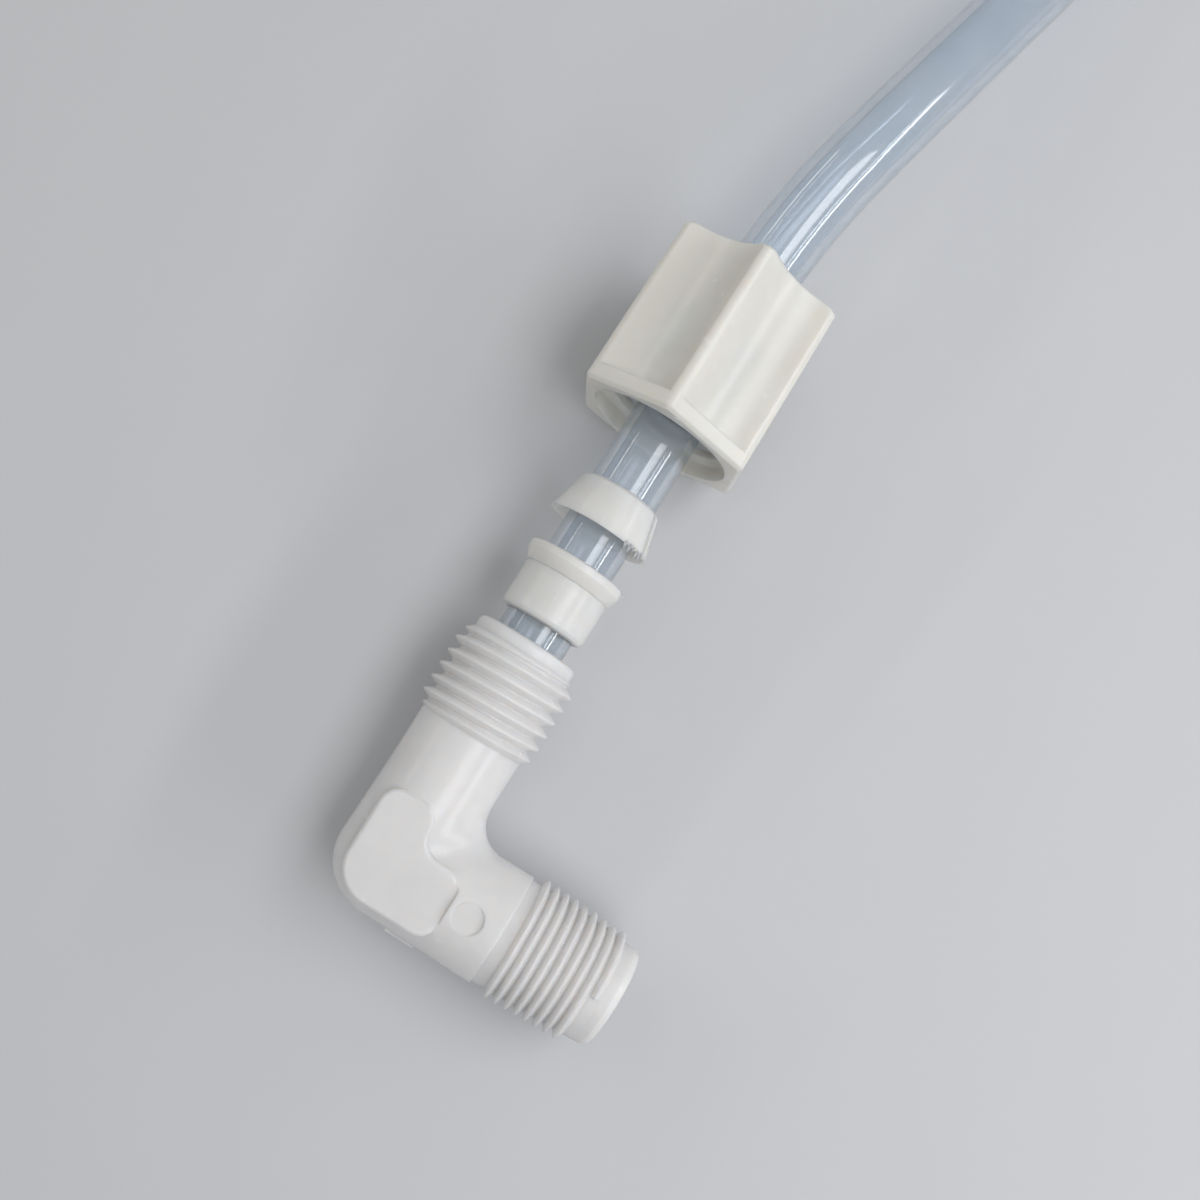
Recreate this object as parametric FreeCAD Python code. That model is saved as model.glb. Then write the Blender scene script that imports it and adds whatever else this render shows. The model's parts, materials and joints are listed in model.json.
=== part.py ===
import FreeCAD, Part
import math
import os

# Elbow compression fitting for plastic tube, shown apart along its piece of tube.
# All lengths are in millimetres and all angles in degrees.
# Each piece is drawn in the plane of the two legs: the legs' axes cross at the origin,
# the pipe leg runs along +X and the tube leg along +Y. At the end everything is leaned
# about the pipe leg, so that the pipe thread and the nut's lowest corner touch one floor,
# and moved so that the middle of the pipe leg's end face is at the origin.

# Tube
tube_od = 12.0
tube_wall = 1.5
tube_insertion = 18.0
# Corners of the tube's route beyond the nut as (across, along, up) from where the axes cross.
tube_bends = [(0.0, 120.0, 0.0), (6.3, 151.0, -3.2), (17.5, 207.0, -18.9)]
tube_run_share = 0.45

# Elbow body
tube_leg_length = 41.6
tube_leg_od = 18.2
pipe_leg_length = 42.1
pipe_leg_od = 19.7
crotch_radius = 5.7
flow_bore = 9.0
corner_bore = 10.0
pipe_bore = 12.0
pipe_bore_depth = 24.1
tube_socket_clearance = 0.15
mouth_rounding = 0.9
tip_rounding = 1.2

# Flat pads on both sides of the corner
pad_recess = 0.35
pad_margin = 3.0
pad_on_pipe_leg = 11.9
pad_on_tube_leg = 11.7
pad_inner_pipe = 5.0
pad_inner_tube = 3.5
pad_end_radius = 3.2
pad_edge_bevel = 0.5

# Ejector mark on the pipe leg and gate mark on the corner's outer side
ejector_radius = 2.6
ejector_from_corner = 15.3
ejector_depth = 0.4
gate_from_corner = 7.6
gate_length = 5.4
gate_width = 2.4
gate_height = 0.45

# Compression thread on the tube leg
tube_thread_od = 21.1
tube_thread_pitch = 2.44
tube_thread_lead = 2.2
tube_thread_length = 15.4
tube_thread_crest = 0.3
tube_thread_root_gap = 0.3
tube_thread_undercut = 0.15
pilot_od = 17.8

# Taper pipe thread on the pipe leg, 14 turns to the inch, taper 1 in 16 on the diameter
pipe_thread_pitch = 25.4 / 14
pipe_thread_tip_od = 20.4
pipe_thread_taper = 1 / 16
pipe_thread_depth = 1.3
pipe_thread_crest = 0.26
pipe_thread_root_gap = 0.16
pipe_thread_shoulder = 20.9
pipe_relief_length = 0.8
pipe_tip_length = 2.8
pipe_tip_od = 17.6

# Sleeve
sleeve_gap = 3.3
sleeve_barrel_od = 14.9
sleeve_barrel_length = 8.0
sleeve_flange_od = 17.0
sleeve_flange_height = 3.3
sleeve_rim_height = 0.4
sleeve_rim_width = 0.7
sleeve_bevel = 0.9
sleeve_bevel_height = 2.0
sleeve_nose_rounding = 0.9
sleeve_bore_clearance = 0.2
sleeve_socket_clearance = 0.1
sleeve_seat_clearance = 0.1

# Gripper ring
gripper_gap = 6.1
gripper_length = 7.3
gripper_small_od = 13.9
gripper_large_od = 17.7
gripper_rounding = 0.5
gripper_slot = 1.6
gripper_slot_angle = 20.0
gripper_teeth = 4
gripper_tooth_depth = 0.55
gripper_flare_depth = 1.5
gripper_rim_wall = 0.45
gripper_bore_clearance = 0.1

# Nut
nut_gap = 11.3
nut_length = 29.0
nut_flats = 28.6
nut_back_flats = 27.6
nut_collar_height = 2.9
nut_corner_radius = 1.5
nut_scallop_depth = 2.2
nut_scallop_width = 14.0
nut_back_bevel = 0.6
nut_front_bevel = 0.6
nut_back_wall = 3.0
nut_hole_clearance = 0.3
nut_counterbore = 24.6
nut_counterbore_depth = 2.4
nut_thread_clearance = 0.25
nut_cone_clearance = 0.15

# Worked out from the sizes above
tube_radius = tube_od / 2
tube_leg_radius = tube_leg_od / 2
pipe_leg_radius = pipe_leg_od / 2
corner_radius = (tube_leg_radius + pipe_leg_radius) / 2
pad_height = corner_radius - pad_recess
blend_end = pipe_leg_radius + crotch_radius
tube_thread_radius = tube_thread_od / 2
tube_thread_root = tube_leg_radius - tube_thread_undercut
pipe_tip_radius = pipe_tip_od / 2
mouth = tube_leg_length
tube_stop = mouth - tube_insertion
sleeve_socket_radius = sleeve_barrel_od / 2 + sleeve_socket_clearance
sleeve_start = mouth + sleeve_gap
sleeve_length = sleeve_barrel_length + sleeve_flange_height
gripper_start = sleeve_start + sleeve_length + gripper_gap
nut_start = gripper_start + gripper_length + nut_gap
rounding_loss = nut_corner_radius * (1 / math.cos(math.pi / 6) - 1)
nut_corner_reach = nut_flats / 2 / math.cos(math.pi / 6) - rounding_loss
nut_draft = (nut_flats - nut_back_flats) / 2 / nut_length
pipe_thread_end = pipe_leg_length - pipe_tip_length
pipe_thread_start = pipe_thread_shoulder + pipe_relief_length


def vec(x, y, z=0.0):
    return FreeCAD.Vector(x, y, z)


def pipe_crest_at(place):
    """The taper thread's crest radius at a distance from the corner."""
    return pipe_thread_tip_od / 2 + (pipe_thread_end - place) * pipe_thread_taper / 2


def pipe_root_at(place):
    return pipe_crest_at(place) - pipe_thread_depth


def lean_angle():
    """The turn about the pipe leg that puts its thread and the nut's corner on one floor."""
    reach = math.hypot(nut_start, nut_corner_reach)
    drop = math.asin(pipe_crest_at(pipe_thread_start) / reach)
    return math.degrees(math.atan2(nut_corner_reach, nut_start) - drop)


def lie_down(shape):
    """Leans a shape as the fitting lies and puts the pipe leg's end face at the origin."""
    placed = shape.copy()
    placed.rotate(vec(0, 0), vec(1, 0), lean_angle())
    placed.translate(vec(-pipe_leg_length, 0))
    return placed


def turned(points, leg="tube"):
    """A solid turned about a leg's axis from (along, radius) points."""
    corners = [vec(along, radius) for along, radius in points]
    solid = Part.Face(Part.makePolygon(corners + corners[:1])).revolve(vec(0, 0), vec(1, 0), 360)
    if leg == "tube":
        solid.rotate(vec(0, 0), vec(0, 0, 1), 90)
    return solid


def stepped(outline, leg="tube"):
    """A turned solid that reaches in to the axis, from (along, radius) points on its outside."""
    return turned([(outline[0][0], 0.0)] + outline + [(outline[-1][0], 0.0)], leg)


def eased(place, radius, rounding, way=1):
    """Three points of a quarter arc that takes off a rim. The rim's face looks along way."""
    shallow = rounding * (1 - math.cos(math.pi / 4))
    return [
        (place - way * rounding, radius),
        (place - way * shallow, radius - shallow),
        (place, radius - rounding),
    ]


def uprights(block, places):
    """The edges of a block that stand along Z at the given (across, along) places."""
    found = []
    for edge in block.Edges:
        box = edge.BoundBox
        for x, y in places:
            if box.ZLength > 0.1 and abs(box.Center.x - x) < 0.01 and abs(box.Center.y - y) < 0.01:
                found.append(edge)
    return found


def thread_ridge(pitch, length, root, depth, crest, root_gap, half_taper=0.0):
    """A helical ridge about +Z, its foot sunk into the core.

    Without a taper it runs on for a turn at both ends, where it is cut away.
    """
    overrun = 0 if half_taper else pitch
    sink = 0.2
    flank = (pitch - crest - root_gap) / 2
    foot = sink * flank / depth
    rails = []
    for lift, radius in [
        (-foot, root - sink),
        (flank, root + depth),
        (flank + crest, root + depth),
        (2 * flank + crest + foot, root - sink),
    ]:
        helix = Part.makeHelix(pitch, length - pitch + 2 * overrun, radius, half_taper)
        helix.translate(vec(0, 0, root_gap / 2 + lift - overrun))
        rails.append(helix.Edges[0])
    faces = [Part.makeRuledSurface(a, b) for a, b in zip(rails, rails[1:] + rails[:1])]
    for end in (0, -1):
        corners = [rail.Vertexes[end].Point for rail in rails]
        faces.append(Part.Face(Part.makePolygon(corners + corners[:1])))
    shell = Part.makeShell(faces)
    shell.sewShape()
    ridge = Part.makeSolid(shell)
    if ridge.Volume < 0:
        ridge.reverse()
    return ridge


def tube_thread():
    """The compression thread, chamfered away at both ends."""
    end = mouth - tube_thread_lead
    start = end - tube_thread_length
    depth = tube_thread_radius - tube_thread_root
    ridge = thread_ridge(
        tube_thread_pitch,
        tube_thread_length,
        tube_thread_root,
        depth,
        tube_thread_crest,
        tube_thread_root_gap,
    )
    ridge.rotate(vec(0, 0), vec(1, 0), -90)
    ridge.translate(vec(0, start))
    over = tube_thread_radius + 0.1
    envelope = stepped(
        [
            (start, tube_thread_root - depth),
            (start, tube_thread_root),
            (start + depth, over),
            (end - depth, over),
            (end, tube_thread_root),
            (end, tube_thread_root - depth),
        ]
    )
    return ridge.common(envelope)


def pipe_thread():
    """The taper thread. Its helix starts at the leg's end, where it is smallest."""
    depth = pipe_thread_depth
    ridge = thread_ridge(
        pipe_thread_pitch,
        pipe_thread_end - pipe_thread_start,
        pipe_root_at(pipe_thread_end),
        depth,
        pipe_thread_crest,
        pipe_thread_root_gap,
        math.degrees(math.atan(pipe_thread_taper / 2)),
    )
    ridge.rotate(vec(0, 0), vec(0, 1), -90)
    ridge.translate(vec(pipe_thread_end, 0))
    start = pipe_thread_start
    end = pipe_thread_end
    over = pipe_crest_at(start) + 0.1
    envelope = stepped(
        [
            (start, pipe_root_at(start) - depth),
            (start, pipe_root_at(start) + depth / 2),
            (start + depth / 2, over),
            (end - depth, over),
            (end, pipe_root_at(end)),
            (end, pipe_root_at(end) - depth),
        ],
        "pipe",
    )
    return ridge.common(envelope)


def pad_block(bottom, top):
    """A block of the pads' outline: it follows the corner's outside and narrows along both legs."""
    outer_x = -(tube_leg_radius - pad_margin)
    outer_y = -(pipe_leg_radius - pad_margin)
    outline = [
        (outer_x, outer_y),
        (pad_on_pipe_leg, outer_y),
        (pad_on_pipe_leg, pad_inner_pipe),
        (pad_inner_tube, pad_inner_pipe),
        (pad_inner_tube, pad_on_tube_leg),
        (outer_x, pad_on_tube_leg),
    ]
    corners = [vec(x, y, bottom) for x, y in outline]
    block = Part.Face(Part.makePolygon(corners + corners[:1])).extrude(vec(0, 0, top - bottom))
    block = block.makeFillet(-outer_x - 0.1, uprights(block, outline[:1]))
    return block.makeFillet(pad_end_radius, uprights(block, outline[1:]))


def legs():
    """Both legs and the ball of the corner, with the pads and the rounded crotch."""
    tube_leg = stepped(
        [(0.0, corner_radius), (blend_end, tube_leg_radius), (mouth - tube_thread_lead, tube_leg_radius)]
    )
    pipe_leg = stepped(
        [(0.0, corner_radius), (blend_end, pipe_leg_radius), (pipe_thread_shoulder, pipe_leg_radius)],
        "pipe",
    )
    body = tube_leg.fuse([pipe_leg, Part.makeSphere(corner_radius)])
    pads = pad_block(-pad_height, pad_height)
    pad_rims = [edge for edge in pads.Edges if edge.BoundBox.ZLength < 0.01]
    body = body.removeSplitter().fuse(pads.makeChamfer(pad_edge_bevel, pad_rims))
    crotch = []
    for edge in body.Edges:
        box = edge.BoundBox
        inner = box.XMin > pad_inner_tube and box.YMin > pad_inner_pipe
        if inner and box.XMax < blend_end and box.YMax < blend_end and box.ZLength > pad_height / 2:
            crotch.append(edge)
    body = body.makeFillet(crotch_radius, crotch)
    over = 2 * corner_radius
    return body.cut([pad_block(pad_height, over), pad_block(-over, -pad_height)])


def marks(body):
    """The round ejector mark on the pipe leg and the raised gate mark on the outer side."""
    top = pipe_leg_radius - ejector_depth
    ejector = Part.makeCylinder(ejector_radius, corner_radius, vec(ejector_from_corner, 0, top))
    gate = Part.makeBox(
        gate_length,
        corner_radius,
        gate_width,
        vec(gate_from_corner - gate_length / 2, -pipe_leg_radius - gate_height / 2, -gate_width / 2),
    )
    return body.cut(ejector).fuse(gate)


def flow_way():
    """Everything that is open inside the body, from the mouth to the pipe leg's end."""
    tube_socket = tube_radius + tube_socket_clearance
    sleeve_floor = mouth - sleeve_barrel_length - sleeve_seat_clearance
    way = stepped(
        [
            (0.0, flow_bore / 2),
            (tube_stop, flow_bore / 2),
            (tube_stop, tube_socket),
            (sleeve_floor, tube_socket),
            (sleeve_floor, sleeve_socket_radius - sleeve_nose_rounding / 2),
            (sleeve_floor + sleeve_nose_rounding / 2, sleeve_socket_radius),
            (mouth + 1.0, sleeve_socket_radius),
        ]
    )
    pipe_floor = pipe_leg_length - pipe_bore_depth
    pipe_way = stepped(
        [
            (0.0, corner_bore / 2),
            (pipe_floor - (pipe_bore - corner_bore) / 2, corner_bore / 2),
            (pipe_floor, pipe_bore / 2),
            (pipe_leg_length + 1.0, pipe_bore / 2),
        ],
        "pipe",
    )
    return way.fuse([pipe_way, Part.makeSphere(corner_bore / 2)])


def elbow_body():
    pilot = stepped([(blend_end, pilot_od / 2)] + eased(mouth, pilot_od / 2, mouth_rounding))
    pipe_core = stepped(
        [
            (pipe_thread_shoulder - 1.0, pipe_root_at(pipe_thread_shoulder)),
            (pipe_thread_end, pipe_root_at(pipe_thread_end)),
            (pipe_thread_end, pipe_tip_radius),
        ]
        + eased(pipe_leg_length, pipe_tip_radius, tip_rounding),
        "pipe",
    )
    body = marks(legs()).fuse([pilot, pipe_core])
    body = body.cut(flow_way())
    return body.fuse([tube_thread(), pipe_thread()])


def sleeve():
    """The flanged sleeve: its barrel seals in the body's mouth and the gripper sits on its flange."""
    start = sleeve_start
    shoulder = start + sleeve_barrel_length
    end = start + sleeve_length
    barrel = sleeve_barrel_od / 2
    flange = sleeve_flange_od / 2
    bore = tube_radius + sleeve_bore_clearance
    rim = sleeve_rim_width / 3
    return turned(
        [(start, bore)]
        + eased(start, barrel, sleeve_nose_rounding, -1)[::-1]
        + [
            (shoulder, barrel),
            (shoulder, flange - sleeve_bevel),
            (shoulder + sleeve_bevel_height, flange),
            (end - rim, flange),
            (end, flange - rim),
            (end, flange - sleeve_rim_width),
            (end - sleeve_rim_height, flange - sleeve_rim_width - sleeve_rim_height / 2),
            (end - sleeve_rim_height, bore),
        ]
    )


def gripper_ring():
    """The split cone with saw teeth that bite the tube, its thin flared end towards the sleeve."""
    start = gripper_start
    end = start + gripper_length
    small = gripper_small_od / 2
    large = gripper_large_od / 2
    tips = tube_radius + gripper_bore_clearance
    roots = tips + gripper_tooth_depth
    flare_end = start + gripper_flare_depth
    lead = gripper_rounding
    pitch = (end - lead - flare_end) / gripper_teeth
    inside = [(end, tips + gripper_bore_clearance)]
    for tooth in range(gripper_teeth):
        place = end - lead - tooth * pitch
        inside += [(place, tips), (place - pitch, roots)]
    inside.append((start, large - gripper_rim_wall))
    slope = (large - small) / gripper_length
    shoulder = small + slope * gripper_rounding
    outside = [(start, large), (end - gripper_rounding, shoulder), (end, shoulder - gripper_rounding)]
    ring = turned(outside + inside)
    slot_corner = vec(0, start - gripper_length / 2, -gripper_slot / 2)
    slot = Part.makeBox(gripper_large_od, 2 * gripper_length, gripper_slot, slot_corner)
    slot.rotate(vec(0, 0), vec(0, 1), -gripper_slot_angle)
    return ring.cut(slot)


def hexagon(flats, place):
    """A hexagon across the tube leg's axis, with one corner up."""
    reach = flats / 2 / math.cos(math.pi / 6)
    corners = []
    for side in range(6):
        angle = math.pi / 6 + side * math.pi / 3
        corners.append(vec(reach * math.cos(angle), place, reach * math.sin(angle)))
    return Part.makePolygon(corners + corners[:1])


def hexagon_bar():
    """The nut's outside: it narrows towards its back, so that it leaves its mould."""
    ends = [hexagon(nut_flats, nut_start), hexagon(nut_back_flats, nut_start + nut_length)]
    bar = Part.makeLoft(ends, True, True)
    long_edges = [edge for edge in bar.Edges if edge.BoundBox.YLength > nut_length / 2]
    return bar.makeFillet(nut_corner_radius, long_edges)


def scallops(place):
    """The six hollows that run along the nut's flats from the collar to the back."""
    half = nut_scallop_width / 2
    radius = (half**2 + nut_scallop_depth**2) / (2 * nut_scallop_depth)
    flat = nut_flats / 2 - (place - nut_start) * nut_draft
    offset = flat - nut_scallop_depth + radius
    cutters = []
    for side in range(6):
        angle = side * math.pi / 3
        centre = vec(offset * math.cos(angle), place, offset * math.sin(angle))
        way = vec(-nut_draft * math.cos(angle), 1, -nut_draft * math.sin(angle))
        cutters.append(Part.makeCylinder(radius, nut_length, centre, way))
    return cutters


def nut_inside():
    """The nut's inside: counterbore, thread clearance, cone for the gripper and tube hole."""
    start = nut_start
    wall = start + nut_length - nut_back_wall
    bore = tube_thread_radius + nut_thread_clearance
    slope = (gripper_large_od - gripper_small_od) / 2 / gripper_length
    cone_small = gripper_small_od / 2 + nut_cone_clearance
    cone_large = gripper_large_od / 2 + nut_cone_clearance
    cone_start = wall - (cone_large - cone_small) / slope
    shoulder = cone_start - (bore - cone_large)
    hole = tube_radius + nut_hole_clearance
    counterbore = nut_counterbore / 2
    step = nut_counterbore_depth
    return stepped(
        [
            (start - 1.0, counterbore),
            (start + step, counterbore),
            (start + step + (counterbore - bore) / 2, bore),
            (shoulder, bore),
            (cone_start, cone_large),
            (wall, cone_small),
            (wall, hole),
            (start + nut_length + 1.0, hole),
        ]
    )


def nut():
    bar = hexagon_bar()
    back = [edge for edge in bar.Edges if edge.BoundBox.YMin > nut_start + nut_length - 0.01]
    bar = bar.makeChamfer(nut_back_bevel, back)
    front = [edge for edge in bar.Edges if edge.BoundBox.YMax < nut_start + 0.01]
    bar = bar.makeChamfer(nut_front_bevel, front)
    return bar.cut(scallops(nut_start + nut_collar_height)).cut(nut_inside())


def rounded_path(route):
    """Straight runs joined by tangent arcs, each as large as its two runs allow."""
    points = [vec(*point) for point in route]
    edges = []
    here = points[0]
    for before, corner, after in zip(points, points[1:], points[2:]):
        back = before - corner
        ahead = after - corner
        turn = math.pi - back.getAngle(ahead)
        reach = tube_run_share * min(back.Length, ahead.Length)
        back.normalize()
        ahead.normalize()
        radius = reach / math.tan(turn / 2)
        middle = back + ahead
        middle.normalize()
        centre = corner + middle * (radius / math.cos(turn / 2))
        first = corner + back * reach
        last = corner + ahead * reach
        edges.append(Part.LineSegment(here, first).toShape())
        edges.append(Part.Arc(first, centre - middle * radius, last).toShape())
        here = last
        print("tube bend radius", round(radius, 1), "turn", round(math.degrees(turn), 1))
    edges.append(Part.LineSegment(here, points[-1]).toShape())
    return Part.Wire(edges)


def tube():
    """The tube: pushed in to its stop, straight through every piece, then bent down to the floor."""
    path = rounded_path([(0.0, tube_stop, 0.0)] + tube_bends)
    ways = []
    for radius in (tube_radius, tube_radius - tube_wall):
        ring = Part.Wire(Part.makeCircle(radius, vec(0, tube_stop), vec(0, 1)))
        ways.append(path.makePipeShell([ring], True, True))
    shape = ways[0].cut(ways[1])
    section = math.pi * (tube_radius**2 - (tube_radius - tube_wall) ** 2)
    share = shape.Volume / section / path.Length
    print("tube length", round(path.Length, 1), "volume share", round(share, 4))
    return shape


def write(name, shape):
    placed = lie_down(shape)
    placed.exportStep(os.path.join("parts", name + ".step"))
    print(name, placed.isValid(), len(placed.Solids), "solid", round(placed.Volume, 1), "mm3")


os.makedirs("parts", exist_ok=True)
print("lean", round(lean_angle(), 2), "floor", round(-pipe_crest_at(pipe_thread_start), 3))
write("elbow_body", elbow_body())
write("sleeve", sleeve())
write("gripper_ring", gripper_ring())
write("nut", nut())
write("tube", tube())
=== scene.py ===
# %% [markdown]
# # An elbow tube fitting, loosely apart along its tube
# The real thing is five pieces: an elbow body with two threads, a sealing sleeve, a split gripper
# ring, a hexagon nut, and the clear tube that they all sit on. The four mouldings are natural
# plastic with no pigment, so light goes a little way into them and comes out again. The tube is
# clear with a blue haze.
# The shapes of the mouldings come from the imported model. This lesson dresses them: it places the
# camera, lays the tube along its route, cuts the nut's inner thread and mixes the finishes.

# %% Load the frame
import json
import math

import bpy
from mathutils import Matrix, Vector


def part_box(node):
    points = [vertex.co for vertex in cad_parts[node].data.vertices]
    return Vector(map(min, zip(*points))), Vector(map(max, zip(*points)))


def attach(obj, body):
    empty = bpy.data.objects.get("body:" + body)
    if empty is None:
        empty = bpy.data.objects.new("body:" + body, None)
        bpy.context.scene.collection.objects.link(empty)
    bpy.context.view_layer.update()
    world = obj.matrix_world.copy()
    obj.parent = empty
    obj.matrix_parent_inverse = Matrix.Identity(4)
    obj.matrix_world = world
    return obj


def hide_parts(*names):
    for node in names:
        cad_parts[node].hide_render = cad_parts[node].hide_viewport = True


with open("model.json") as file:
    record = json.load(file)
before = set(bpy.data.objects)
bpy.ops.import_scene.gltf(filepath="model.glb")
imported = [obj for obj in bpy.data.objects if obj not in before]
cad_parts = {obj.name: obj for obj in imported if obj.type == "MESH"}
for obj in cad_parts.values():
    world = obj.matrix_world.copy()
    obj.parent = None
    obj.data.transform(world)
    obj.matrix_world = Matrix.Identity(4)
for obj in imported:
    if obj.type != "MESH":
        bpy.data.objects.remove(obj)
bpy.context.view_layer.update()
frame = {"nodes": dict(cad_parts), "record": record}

MM = 0.001
print("nodes", sorted(frame["nodes"]))

# %% [markdown]
# ## A ruler for the fitting
# The fitting lies on its pipe thread and on one corner of its nut, so its tube leg rises a little.
# It could be measured in the world's own axes, but then every length along the tube would need the
# slope. It is easier to measure as the maker would: across the tube, along it from the point where
# the two legs' axes cross, and up out of the legs' plane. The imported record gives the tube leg's
# direction, because all the loose pieces slide along it.

# %% Directions and the crossing of the axes
ALONG = Vector(frame["record"]["behaviour"]["joints"][0]["axis"]).normalized()
ACROSS = Vector((1.0, 0.0, 0.0))
UP = ACROSS.cross(ALONG)
nut_low, nut_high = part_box("nut")
CROSSING = Vector(((nut_low[0] + nut_high[0]) / 2, 0.0, 0.0))
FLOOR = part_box("elbow_body")[0][2]


def place(across, along, up=0.0):
    """A point in the world from millimetres across, along and up from the crossing."""
    return CROSSING + (ACROSS * across + ALONG * along + UP * up) * MM


def leg_matrix(along):
    """The place of a piece that is modelled about its own Z axis and sits on the tube leg."""
    turn = Matrix((ACROSS, -UP, ALONG)).transposed().to_4x4()
    return Matrix.Translation(place(0, along)) @ turn


def nut_start():
    """How far along the tube leg the nut's open end is."""
    nut = frame["nodes"]["nut"]
    low = min(ALONG.dot(nut.matrix_world @ vertex.co) for vertex in nut.data.vertices)
    return (low - ALONG.dot(CROSSING)) / MM


NUT_START = nut_start()
print("tube leg rises", round(math.degrees(math.asin(ALONG.z)), 2), "degrees")
print("nut starts", round(NUT_START, 2), "mm along it")

# %% [markdown]
# ## The camera
# The photograph looks straight down on the two legs from close by, so the nut, which is far from
# the lens's axis, shows a little of its open end. A view from far away would hide that. The camera
# therefore stands square to the legs' plane, at the distance that gives the nut its true slant, and
# the picture's edges are moved by shift alone, because turning the camera would change the slant.

# %% Camera
FRAME_PIXELS = 1200
AXIS_PIXEL = (565, 750)
AXIS_POINT = (14.1, 30.0)
CAMERA_HEIGHT = 194.0
PICTURE_TURN = math.radians(32.2)
LENS = 36.0

lens = bpy.data.cameras.new("camera")
lens.lens = LENS
lens.sensor_width = LENS
lens.shift_x = 0.5 - AXIS_PIXEL[0] / FRAME_PIXELS
lens.shift_y = AXIS_PIXEL[1] / FRAME_PIXELS - 0.5
lens.clip_start = 0.01
camera = bpy.data.objects.new("camera", lens)
bpy.context.scene.collection.objects.link(camera)
right = ACROSS * math.cos(PICTURE_TURN) + ALONG * math.sin(PICTURE_TURN)
upward = ALONG * math.cos(PICTURE_TURN) - ACROSS * math.sin(PICTURE_TURN)
camera.matrix_world = Matrix.Translation(place(*AXIS_POINT, CAMERA_HEIGHT)) @ Matrix(
    (right, upward, UP)
).transposed().to_4x4()
bpy.context.scene.camera = camera
print("camera at", [round(x, 3) for x in camera.location])

# %% [markdown]
# ## The tube
# The tube is a length of stiff plastic hose, 12 mm across with a wall of 1.5 mm. Inside the fitting
# it is straight, and beyond the nut it bends away and comes down to the floor. It could be a solid
# rod with a glassy finish, but the wall is what makes the bright and dark lines along it. So a
# smooth line is drawn through the route's points, a skin is drawn round that line, and the skin
# gets the real wall.

# %% The tube's route
TUBE_RADIUS = 6.0
TUBE_WALL = 1.5
TUBE_ROUTE = [
    (0.0, 0.0236, 0.0),
    (0.0, 0.120, 0.0),
    (0.0063, 0.151, -0.0032),
    (0.0175, 0.207, -0.0189),
]
STRAIGHT_POINT = (0.0, 0.088, 0.0)
LINE_STEPS = 24


def draw_line(name, points):
    """A smooth line of one spline, with the points as its control points."""
    line = bpy.data.curves.new(name, "CURVE")
    line.dimensions = "3D"
    line.resolution_u = LINE_STEPS
    spline = line.splines.new("NURBS")
    spline.points.add(len(points) - 1)
    for knot, (across, along, up) in zip(spline.points, points):
        knot.co = (*place(across / MM, along / MM, up / MM), 1.0)
    spline.order_u = 3
    spline.use_endpoint_u = True
    piece = bpy.data.objects.new(name, line)
    bpy.context.scene.collection.objects.link(piece)
    return piece


def read_line(piece):
    """The points that the smooth line really goes through, and its length."""
    mesh = bpy.data.meshes.new_from_object(piece)
    points = [vertex.co.copy() for vertex in mesh.vertices]
    bpy.data.meshes.remove(mesh)
    return points, sum((b - a).length for a, b in zip(points, points[1:]))


route = draw_line("tube_line", [TUBE_ROUTE[0], STRAIGHT_POINT] + TUBE_ROUTE[1:])
tube_points, tube_length = read_line(route)
print("tube line", len(tube_points), "points", round(tube_length * 1000, 1), "mm")


# %% Small helpers for modelling by hand
def select_only(piece):
    """Selects one piece and nothing else, and makes it the active one."""
    bpy.ops.object.select_all(action="DESELECT")
    piece.select_set(True)
    bpy.context.view_layer.objects.active = piece


def apply_modifiers(piece):
    select_only(piece)
    for modifier in list(piece.modifiers):
        bpy.ops.object.modifier_apply(modifier=modifier.name)


def smooth(piece, degrees=35):
    select_only(piece)
    bpy.ops.object.shade_smooth_by_angle(angle=math.radians(degrees))


# %% Skin the line and give it its wall
RING_STEPS = 14


def skin_tube():
    """A hollow tube along the route."""
    route.data.bevel_depth = TUBE_RADIUS * MM
    route.data.bevel_resolution = RING_STEPS
    mesh = bpy.data.meshes.new_from_object(route)
    route.data.bevel_depth = 0.0
    piece = bpy.data.objects.new("clear_tube", mesh)
    bpy.context.scene.collection.objects.link(piece)
    wall = piece.modifiers.new("wall", "SOLIDIFY")
    wall.thickness = TUBE_WALL * MM
    wall.offset = -1.0
    wall.use_rim = True
    apply_modifiers(piece)
    smooth(piece)
    return piece


tube = skin_tube()
bpy.data.objects.remove(route)
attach(tube, "elbow")
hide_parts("tube")
print("tube", len(tube.data.polygons), "faces")

# %% [markdown]
# ## The floor and the lamps
# The photograph has soft light from above and two long bright sources on the right. The broad one
# draws the white band along the tube, and the narrow one, lower down, draws the thin streaks on the
# nut, the sleeve and the tube leg. A slit of warm light on the left draws the thin cream line near
# the tube's left edge. A single lamp would leave hard shadows, so the world and a wide lamp overhead
# give a plain level under them all.

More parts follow.
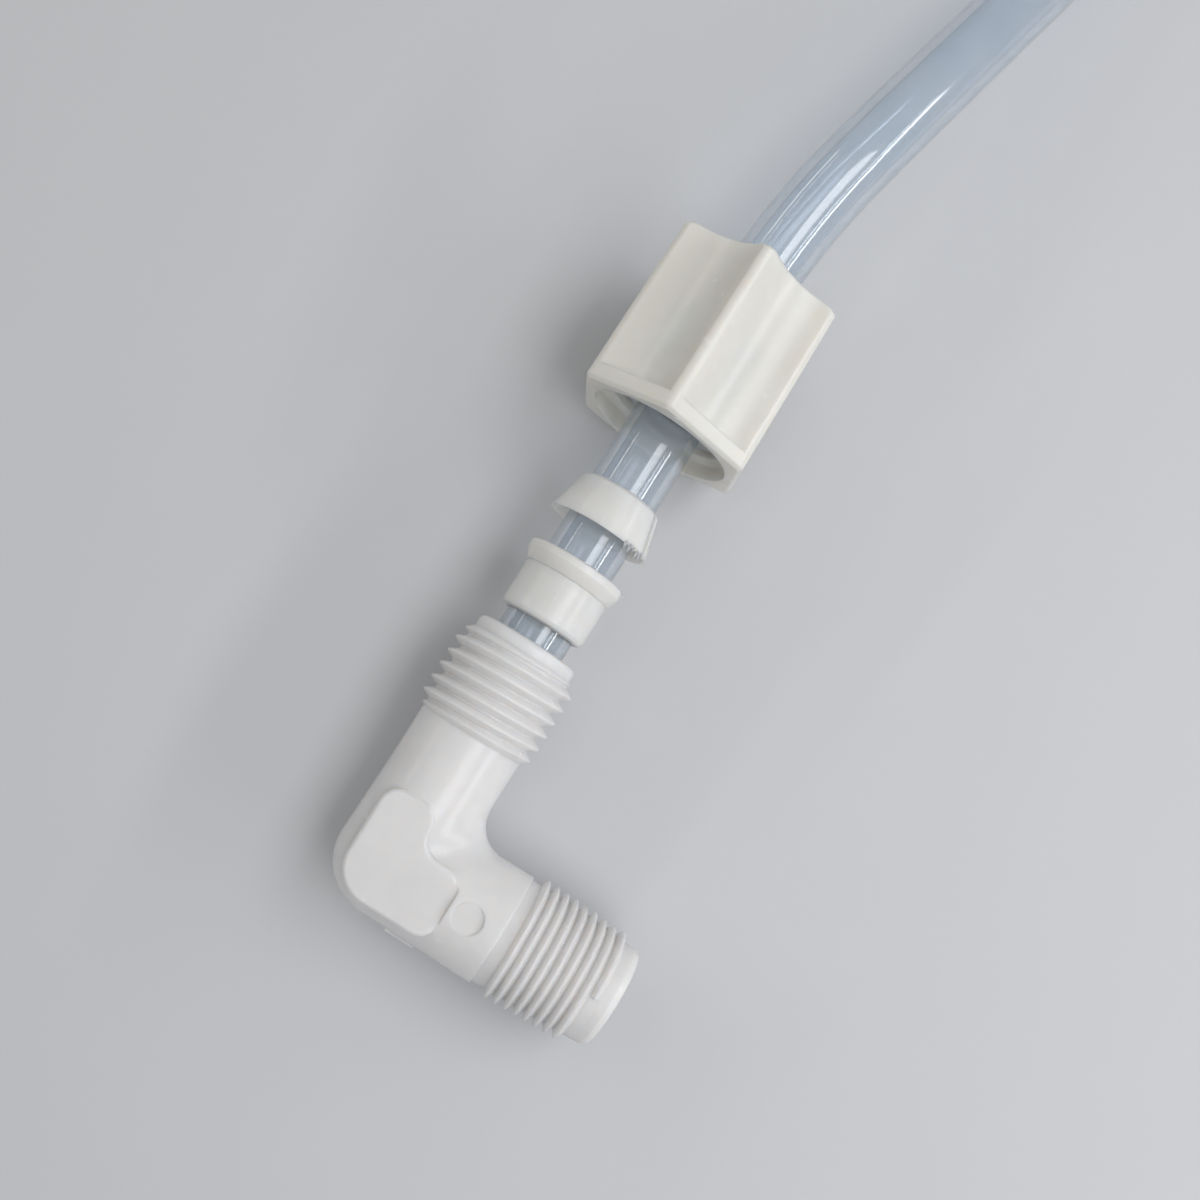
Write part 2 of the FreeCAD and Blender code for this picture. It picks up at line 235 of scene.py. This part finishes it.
# %% Shader sums written as plain arithmetic
class Wire:
    """A node's output. Sums and products of wires add the Math nodes that work them out."""

    def __init__(self, tree, socket=None):
        self.tree = tree
        self.socket = socket

    def add(self, kind, settings=(), inputs=(), out=0):
        """Adds any node: first its settings, then the numbers and wires of its sockets."""
        node = self.tree.nodes.new(kind)
        for name, value in dict(settings).items():
            setattr(node, name, value)
        for name, value in dict(inputs).items():
            if isinstance(value, Wire):
                self.tree.links.new(value.socket, node.inputs[name])
            else:
                node.inputs[name].default_value = value
        return Wire(self.tree, node.outputs[out])

    def maths(self, operation, *values):
        return self.add("ShaderNodeMath", {"operation": operation}, dict(enumerate(values)))

    def __add__(self, other):
        return self.maths("ADD", self, other)

    __radd__ = __add__

    def __sub__(self, other):
        return self.maths("SUBTRACT", self, other)

    def __rsub__(self, other):
        return self.maths("SUBTRACT", other, self)

    def __mul__(self, other):
        return self.maths("MULTIPLY", self, other)

    __rmul__ = __mul__

    def __truediv__(self, other):
        return self.maths("DIVIDE", self, other)

    def __rtruediv__(self, other):
        return self.maths("DIVIDE", other, self)

    def size(self):
        return self.maths("ABSOLUTE", self)

    def between(self, low, high):
        """0 below low, 1 above high and a smooth step between them."""
        span = {"Value": self, "From Min": low, "From Max": high}
        return self.add("ShaderNodeMapRange", {"interpolation_type": "SMOOTHSTEP"}, span)

    def blend(self, first, second):
        """The first colour where this wire is 0 and the second where it is 1."""
        settings = {"data_type": "RGBA"}
        return self.add("ShaderNodeMix", settings, {0: self, 6: first, 7: second}, out=2)


def new_finish(name, **constants):
    """A material with one plastic shader. Numbers that stay the same are set on its own sockets."""
    material = bpy.data.materials.new(name)
    material.use_nodes = True
    tree = material.node_tree
    shader = tree.nodes["Principled BSDF"]
    for socket, value in constants.items():
        shader.inputs[socket.replace("_", " ")].default_value = value
    return material, Wire(tree), shader


def feed(sheet, shader, **wires):
    """Leads wires into the shader's sockets."""
    for socket, wire in wires.items():
        sheet.tree.links.new(wire.socket, shader.inputs[socket.replace("_", " ")])


# %% Floor
FLOOR_COLOUR = (0.62, 0.625, 0.64, 1.0)
FLOOR_SHADE = tuple(c * 0.985 for c in FLOOR_COLOUR[:3]) + (1.0,)
FLOOR_WIDTH = 4.0
FLOOR_MIDDLE = (CROSSING.x, 0.08, FLOOR)

bpy.ops.object.select_all(action="DESELECT")
bpy.ops.mesh.primitive_plane_add(size=FLOOR_WIDTH, location=FLOOR_MIDDLE)
floor = bpy.context.object
floor.name = "floor"
floor_finish, floor_sheet, floor_shader = new_finish("floor_paper", Roughness=0.85)
floor_spot = floor_sheet.add("ShaderNodeTexCoord", out=3)
grain = floor_sheet.add(
    "ShaderNodeTexNoise", {}, {"Vector": floor_spot, "Scale": 60.0, "Detail": 3.0}
)
feed(floor_sheet, floor_shader, Base_Color=grain.blend(FLOOR_SHADE, FLOOR_COLOUR))
floor.data.materials.append(floor_finish)
print("floor at", round(FLOOR * 1000, 2), "mm")

# %% [markdown]
# ## A pale distance
# From the side, the lamps leave the far end of the floor dark. More light would also fall on the
# fitting. So the camera alone is shown a paler air than the one that lights the fitting, and the
# floor fades into it well away from the fitting, where no shadow falls.

# %% The air around, and the floor's fade into it
AIR_COLOUR = (0.93, 0.96, 1.0, 1.0)
AIR_LIGHT = 0.28
AIR_SHOWN = 0.6
FADE_FROM = 0.28
FADE_TO = 0.75


def lead_out(sheet, surface, output):
    """Leads a finished surface to the sheet's output node."""
    sheet.tree.links.new(surface.socket, sheet.tree.nodes[output].inputs[0])


def camera_ray(sheet):
    """1 for what the camera sees directly and 0 for all other light."""
    return sheet.add("ShaderNodeLightPath", out=0)


def fade_floor():
    far = floor_sheet.add("ShaderNodeVectorMath", {"operation": "LENGTH"}, {0: floor_spot}, out=1)
    paper = Wire(floor_sheet.tree, floor_shader.outputs[0])
    glow = {"Color": AIR_COLOUR, "Strength": AIR_SHOWN}
    pale = floor_sheet.add("ShaderNodeEmission", {}, glow)
    share = camera_ray(floor_sheet) * far.between(FADE_FROM, FADE_TO)
    ground = floor_sheet.add("ShaderNodeMixShader", {}, {0: share, 1: paper, 2: pale})
    lead_out(floor_sheet, ground, "Material Output")


def fill_air():
    world = bpy.data.worlds.new("world")
    bpy.context.scene.world = world
    world.use_nodes = True
    air = Wire(world.node_tree)
    lit, shown = [
        air.add("ShaderNodeBackground", {}, {"Color": AIR_COLOUR, "Strength": strength})
        for strength in (AIR_LIGHT, AIR_SHOWN)
    ]
    sky = air.add("ShaderNodeMixShader", {}, {0: camera_ray(air), 1: lit, 2: shown})
    lead_out(air, sky, "World Output")
    return world


fade_floor()
print("air", fill_air().name, "lights at", AIR_LIGHT, "and shows at", AIR_SHOWN)


# %% Lamps
DAYLIGHT = (0.98, 0.985, 1.0)


def lamp(name, spot, aim, size, power, colour=DAYLIGHT):
    """A rectangular lamp at a place round the fitting, looking at a point on it."""
    light = bpy.data.lights.new(name, "AREA")
    light.shape = "RECTANGLE"
    light.size, light.size_y = size
    light.energy = power
    light.color = colour
    piece = bpy.data.objects.new(name, light)
    bpy.context.scene.collection.objects.link(piece)
    here = place(*spot)
    look = (place(*aim) - here).normalized()
    side = (ALONG - look * look.dot(ALONG)).normalized()
    turn = Matrix((look.cross(side), side, -look)).transposed().to_4x4()
    piece.matrix_world = Matrix.Translation(here) @ turn


lamp("overhead", (-160, 60, 680), (0, 60, 0), (0.8, 0.8), 0.6, (1.0, 0.98, 0.95))
lamp("broad_window", (290, 150, 520), (0, 110, 0), (0.24, 0.75), 1.9)
lamp("narrow_window", (470, 190, 250), (0, 100, 0), (0.04, 0.75), 0.9)
lamp("left_slit", (-420, 170, 260), (0, 120, 0), (0.018, 0.8), 0.36, (1.0, 0.95, 0.86))
bpy.context.scene.view_settings.view_transform = "Standard"

# %% [markdown]
# ## The milky plastic
# Unpigmented plastic looks white because light scatters inside it, and it looks greyer where a wall
# is thin. Painting it white would make it chalky. Here most of the colour comes from light that
# enters and spreads a few millimetres before it leaves, with a satin skin on top. The skin has
# faint clouds from the way the plastic flowed, a fine grain from the mould's steel, and the thin
# raised line where the two halves of the mould met.

# %% Helpers that measure a place on a piece
def plane_height(sheet, position, point, normal):
    """How far a place lies above a plane, in millimetres."""
    lift = {0: position, 1: tuple(point)}
    lift = sheet.add("ShaderNodeVectorMath", {"operation": "SUBTRACT"}, lift)
    settings = {"operation": "DOT_PRODUCT"}
    return sheet.add("ShaderNodeVectorMath", settings, {0: lift, 1: tuple(normal)}, out=1) / MM


def clouds(sheet, position, scale, detail=2.0):
    """Soft noise from 0 to 1. The scale is in patches for each metre."""
    settings = {"Vector": position, "Scale": scale, "Detail": detail}
    return sheet.add("ShaderNodeTexNoise", {}, settings)


# %% Milky plastic
FLOW_SCALE, PATCH_SCALE, GRAIN_SCALE = 90.0, 420.0, 5200.0
FLOW_RISE, GRAIN_RISE = 0.02, 0.003
SEAM_INNER, SEAM_OUTER = 0.05, 0.14
MILK_DEPTH = 2.8


def milky_plastic(name, milk, cloud, seam, edge=0.3, seam_height=0.05):
    """Natural plastic with its mould seam. The seam is a plane: a point and a normal."""
    finish, sheet, shader = new_finish(
        name,
        Subsurface_Weight=0.85,
        Subsurface_Radius=(1.0, 0.9, 0.78),
        Subsurface_Scale=MILK_DEPTH * MM,
        IOR=1.49,
    )
    position = sheet.add("ShaderNodeTexCoord", out=3)
    flow = clouds(sheet, position, FLOW_SCALE)
    patches = clouds(sheet, position, PATCH_SCALE)
    grain = clouds(sheet, position, GRAIN_SCALE, 1.0)
    colour = (flow * 0.7 + patches * 0.3).between(0.38, 0.66).blend(cloud, milk)
    off_seam = plane_height(sheet, position, *seam).size().between(SEAM_INNER, SEAM_OUTER)
    height = (1.0 - off_seam) * seam_height + grain * GRAIN_RISE + flow * FLOW_RISE
    soft_edge = sheet.add("ShaderNodeBevel", {"samples": 4}, {"Radius": edge * MM})
    relief = {"Height": height, "Distance": MM, "Normal": soft_edge}
    bump = sheet.add("ShaderNodeBump", {}, relief)
    feed(sheet, shader, Base_Color=colour, Roughness=patches * 0.06 + 0.23, Normal=bump)
    return finish


def dress(finish, *nodes):
    """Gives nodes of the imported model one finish."""
    for node in nodes:
        piece = frame["nodes"][node]
        piece.data.materials.clear()
        piece.data.materials.append(finish)
        print(node, "wears", finish.name)


# %% Three shades of it, for the body, the rings and the nut
body_milk = milky_plastic(
    "body_milk",
    milk=(0.80, 0.79, 0.78, 1.0),
    cloud=(0.77, 0.76, 0.755, 1.0),
    seam=(CROSSING, UP),
    edge=0.4,
)
sleeve_milk = milky_plastic(
    "sleeve_milk",
    milk=(0.82, 0.80, 0.77, 1.0),
    cloud=(0.77, 0.755, 0.72, 1.0),
    seam=(CROSSING, ACROSS),
    seam_height=0.012,
)
nut_milk = milky_plastic(
    "nut_milk",
    milk=(0.79, 0.775, 0.725, 1.0),
    cloud=(0.765, 0.745, 0.69, 1.0),
    seam=(place(0, NUT_START), ALONG),
    edge=0.45,
)
dress(body_milk, "elbow_body")
dress(sleeve_milk, "sleeve", "gripper_ring")
dress(nut_milk, "nut")

# %% [markdown]
# ## The clear tube's finish
# The tube is nearly clear, with a smooth skin and a faint blue haze in its wall. A fully clear
# finish would vanish on a pale floor. A tint in the shader colours the light at each of the walls
# that it crosses. The edges are painted darker: where the skin turns away from the camera, its
# colour is blended into a deep blue, a painted shade that stands in for the darker edges of the
# real tube. A real tube also lets the lamps' light through to the floor behind it. The shader
# leaves that out, so for shadow rays a plain see-through surface takes its place.

# %% Clear plastic
TUBE_TINT = (0.76, 0.82, 0.88, 1.0)
TUBE_HAZE = (0.80, 0.85, 0.90, 1.0)
# Painted shade: the deep blue that the tube's edges are blended into.
TUBE_PAINTED_EDGE_SHADE = (0.42, 0.51, 0.61, 1.0)
TUBE_SHADE = (0.76, 0.78, 0.80, 1.0)
HAZE_SCALE, SCUFF_SCALE = 140.0, 900.0
HAZE_RISE = 0.004


def clear_plastic():
    finish, sheet, shader = new_finish(
        "blue_clear",
        Transmission_Weight=0.88,
        IOR=1.45,
        Coat_Weight=0.6,
        Coat_Roughness=0.1,
        Coat_IOR=1.6,
    )
    position = sheet.add("ShaderNodeTexCoord", out=3)
    haze = clouds(sheet, position, HAZE_SCALE)
    scuffs = clouds(sheet, position, SCUFF_SCALE, 4.0).between(0.5, 0.75)
    # Painted shade: the colour turns to the deep edge blue where the skin faces away from the
    # camera.
    painted_edge_shade = sheet.add("ShaderNodeLayerWeight", {}, {"Blend": 0.4}, out=1).between(0.35, 0.95)
    colour = painted_edge_shade.blend(haze.between(0.3, 0.7).blend(TUBE_TINT, TUBE_HAZE), TUBE_PAINTED_EDGE_SHADE)
    relief = {"Height": haze * HAZE_RISE, "Distance": MM, "Strength": 0.6}
    bump = sheet.add("ShaderNodeBump", {}, relief)
    feed(sheet, shader, Base_Color=colour, Roughness=scuffs * 0.06 + 0.06, Normal=bump)
    clear = sheet.add("ShaderNodeBsdfTransparent", {}, {"Color": TUBE_SHADE})
    shadow_ray = sheet.add("ShaderNodeLightPath", out=1)
    wall = Wire(sheet.tree, shader.outputs[0])
    surface = sheet.add("ShaderNodeMixShader", {}, {0: shadow_ray, 1: wall, 2: clear})
    lead_out(sheet, surface, "Material Output")
    return finish


tube.data.materials.clear()
tube.data.materials.append(clear_plastic())
print("tube wears", tube.data.materials[0].name)

# %% [markdown]
# ## The nut's inner thread
# The nut has the same thread as the body's tube leg, cut inwards. It could be a ring texture, but a
# real thread climbs, and the two must mesh when the nut is screwed home. One tooth's section is
# drawn as a flat shape, and a screw modifier carries it round and along at the thread's pitch. The
# screw leaves both ends open and may turn the faces inwards, so the ends are filled and the faces
# are made to point outwards. Each tooth starts half a pitch away from where the body's teeth are
# when the nut is home.

# %% Inner thread
THREAD_PITCH = 2.44
THREAD_BORE = 10.8
THREAD_TOOTH = 1.5
THREAD_FROM = 4.72
THREAD_TURNS = 4
THREAD_STEPS = 48
ROOT_HALF = THREAD_PITCH * 0.46
ROOT_SUNK = 0.25
CREST_HALF = 0.13


def inner_thread():
    """A ridge that climbs round the inside of the nut."""
    bpy.ops.object.select_all(action="DESELECT")
    bpy.ops.mesh.primitive_plane_add(size=1.0)
    piece = bpy.context.object
    piece.name = "nut_thread"
    root = THREAD_BORE + ROOT_SUNK
    crest = THREAD_BORE - THREAD_TOOTH
    section = [
        Vector((root, 0, -ROOT_HALF)),
        Vector((root, 0, ROOT_HALF)),
        Vector((crest, 0, CREST_HALF)),
        Vector((crest, 0, -CREST_HALF)),
    ]
    corners = [piece.data.vertices[i] for i in piece.data.polygons[0].vertices]
    for corner, spot in zip(corners, section):
        corner.co = spot * MM
    screw = piece.modifiers.new("climb", "SCREW")
    screw.axis = "Z"
    screw.angle = math.tau
    screw.screw_offset = THREAD_PITCH * MM
    screw.iterations = THREAD_TURNS
    screw.steps = THREAD_STEPS
    screw.render_steps = THREAD_STEPS
    apply_modifiers(piece)
    bpy.ops.object.mode_set(mode="EDIT")
    bpy.ops.mesh.select_all(action="SELECT")
    bpy.ops.mesh.fill_holes(sides=len(section))
    bpy.ops.mesh.normals_make_consistent(inside=False)
    bpy.ops.object.mode_set(mode="OBJECT")
    piece.matrix_world = leg_matrix(NUT_START + THREAD_FROM)
    bpy.ops.object.transform_apply()
    smooth(piece, 30)
    return piece


nut_thread = inner_thread()
nut_thread.data.materials.append(nut_milk)
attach(nut_thread, "nut")
print("inner thread", len(nut_thread.data.polygons), "faces")

# %% [markdown]
# ## Torn rims
# Small mouldings like the sleeve and the gripper come out of the mould with a little flash, a film
# of plastic that tears off and leaves points on the rim. The photograph shows one point on the
# sleeve's flange and a row of them beside the gripper's slot. Noise in a material wouldn't change
# the outline, so each point is a small block whose outer end is drawn out and pinched. The
# gripper's points are a thin film at the very edge of its rim, so they pass outside the sleeve's
# flange when the two are pushed together.

# %% Flash points
# for each ring: how far along the rim is, its radius, and each point's angle, reach and width
RIM_POINTS = {
    "sleeve": (56.0, 8.4, [(90, 0.6, 0.3)]),
    "gripper": (
        62.4,
        8.74,
        [
            (34, 0.5, 0.5),
            (41, 0.8, 0.6),
            (47, 0.5, 0.4),
            (54, 1.0, 0.5),
            (61, 0.6, 0.6),
            (78, 0.8, 0.4),
        ],
    ),
}
FILM = 0.2
PINCH = (0.25, 0.25, 0.4)
LEAN = 0.05


def select_faces(piece, wanted):
    """Goes into edit mode with only those faces selected that pass a test."""
    select_only(piece)
    bpy.ops.object.mode_set(mode="EDIT")
    bpy.ops.mesh.select_mode(type="FACE")
    bpy.ops.mesh.select_all(action="DESELECT")
    bpy.ops.object.mode_set(mode="OBJECT")
    for face in piece.data.polygons:
        face.select = wanted(face)
    bpy.ops.object.mode_set(mode="EDIT")


def flash_point(angle, radius, reach, width, outwards):
    """One torn point about the tube's axis. It points out from the axis or towards the body."""
    bpy.ops.object.select_all(action="DESELECT")
    bpy.ops.mesh.primitive_cube_add(size=width * MM)
    piece = bpy.context.object
    if outwards:
        reach_out = (reach * MM, 0, 0)
        select_faces(piece, lambda face: face.normal.x > 0.9)
    else:
        reach_out = (LEAN * MM, 0, -reach * MM)
        piece.data.transform(Matrix.Diagonal((FILM / width, 1, 1, 1)))
        select_faces(piece, lambda face: face.normal.z < -0.9)
    bpy.ops.mesh.extrude_region_move(TRANSFORM_OT_translate={"value": reach_out})
    bpy.ops.transform.resize(value=PINCH)
    bpy.ops.object.mode_set(mode="OBJECT")
    turn = Matrix.Rotation(math.radians(angle - 90), 4, "Z")
    piece.data.transform(turn @ Matrix.Translation((radius * MM, 0, 0)))
    return piece


def torn_rim(name, along, radius, points, body, outwards):
    """A row of torn points on one rim, joined to one piece."""
    made = [flash_point(angle, radius, reach, width, outwards) for angle, reach, width in points]
    select_only(made[0])
    for piece in made:
        piece.select_set(True)
    if len(made) > 1:
        bpy.ops.object.join()
    rim = bpy.context.object
    rim.name = name
    rim.matrix_world = leg_matrix(along)
    bpy.ops.object.transform_apply()
    rim.data.materials.append(sleeve_milk)
    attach(rim, body)
    print(name, len(rim.data.polygons), "faces")


for body, (along, radius, points) in RIM_POINTS.items():
    torn_rim(body + "_flash", along, radius, points, body, body == "sleeve")
